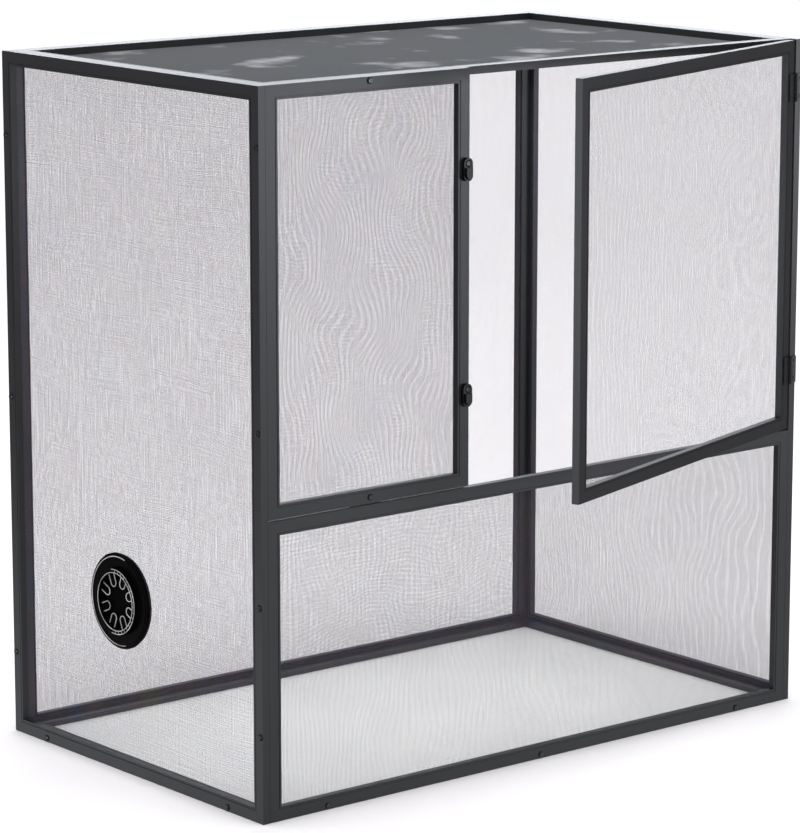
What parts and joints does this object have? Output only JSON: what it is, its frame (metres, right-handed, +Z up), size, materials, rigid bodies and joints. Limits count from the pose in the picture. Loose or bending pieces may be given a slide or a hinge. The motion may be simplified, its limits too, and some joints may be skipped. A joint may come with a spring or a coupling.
{
  "type": "mesh reptile cage",
  "caption": "Tall screened reptile cage: mitred dark metal frames with fine wire mesh, pale floor board, hinged front door with turn latches and a round side port.",
  "frame": {"origin": "middle of the cage's underside, without the open door", "axes": "+X to the right seen from the front, +Y to the rear, +Z up"},
  "size_m": [0.904, 0.7153, 0.9],
  "materials": {
    "frame": "satin",
    "wire_mesh": "woven wire",
    "floor_board": "smooth",
    "spline": "matt",
    "corner_key": "moulded",
    "screw": "darkened",
    "tie_plate": "plain",
    "hinge": "satin",
    "latch": "moulded",
    "port_shell": "moulded",
    "port_rubber": "matt"
  },
  "bodies": {
    "cage": {"left_front_stile": "frame", "left_rear_stile": "frame", "left_bottom_rail": "frame", "left_top_rail": "frame", "right_front_stile": "frame", "right_rear_stile": "frame", "right_bottom_rail": "frame", "right_top_rail": "frame", "back_left_stile": "frame", "back_right_stile": "frame", "back_bottom_rail": "frame", "back_top_rail": "frame", "top_left_rail": "frame", "top_right_rail": "frame", "top_front_rail": "frame", "top_rear_rail": "frame", "floor_left_rail": "frame", "floor_right_rail": "frame", "floor_front_rail": "frame", "floor_rear_rail": "frame", "lower_left_stile": "frame", "lower_right_stile": "frame", "lower_bottom_rail": "frame", "lower_top_rail": "frame", "fixed_left_stile": "frame", "fixed_right_stile": "frame", "fixed_bottom_rail": "frame", "fixed_top_rail": "frame", "left_net": "wire_mesh", "right_net": "wire_mesh", "back_net": "wire_mesh", "top_net": "wire_mesh", "lower_net": "wire_mesh", "fixed_net": "wire_mesh", "floor_board": "floor_board", "wall_splines": "spline", "corner_keys": "corner_key", "panel_screws": "screw", "tie_plate": "tie_plate", "hinge_frame_leaves": "hinge", "hinge_pins": "hinge", "latch_screws": "screw", "port_flange": "port_shell", "port_clamp_ring": "port_shell", "port_fingers": "port_rubber", "port_disc": "port_rubber"},
    "door": {"door_free_stile": "frame", "door_hinge_stile": "frame", "door_bottom_rail": "frame", "door_top_rail": "frame", "door_net": "wire_mesh", "door_spline": "spline", "door_corner_keys": "corner_key", "hinge_door_leaves": "hinge"},
    "upper_latch": {"latch_upper": "latch"},
    "lower_latch": {"latch_lower": "latch"},
    "collar": {"port_collar": "port_shell"}
  },
  "joints": [
    {"name": "door_hinge", "type": "hinge", "parent": "cage", "child": "door", "pos_m": [0.4385, -0.2733, 0.638], "axis": [0, 0, 1], "range_deg": [-18, 102]},
    {"name": "upper_latch_turn", "type": "hinge", "parent": "cage", "child": "upper_latch", "pos_m": [-0.1302, -0.2725, 0.783], "axis": [0, -1, 0], "range_deg": [0, 90]},
    {"name": "lower_latch_turn", "type": "hinge", "parent": "cage", "child": "lower_latch", "pos_m": [-0.1302, -0.2725, 0.501], "axis": [0, -1, 0], "range_deg": [0, 90]},
    {"name": "collar_turn", "type": "hinge", "parent": "cage", "child": "collar", "pos_m": [-0.445, 0.036, 0.22], "axis": [-1, 0, 0], "range_deg": [0, 90]}
  ]
}
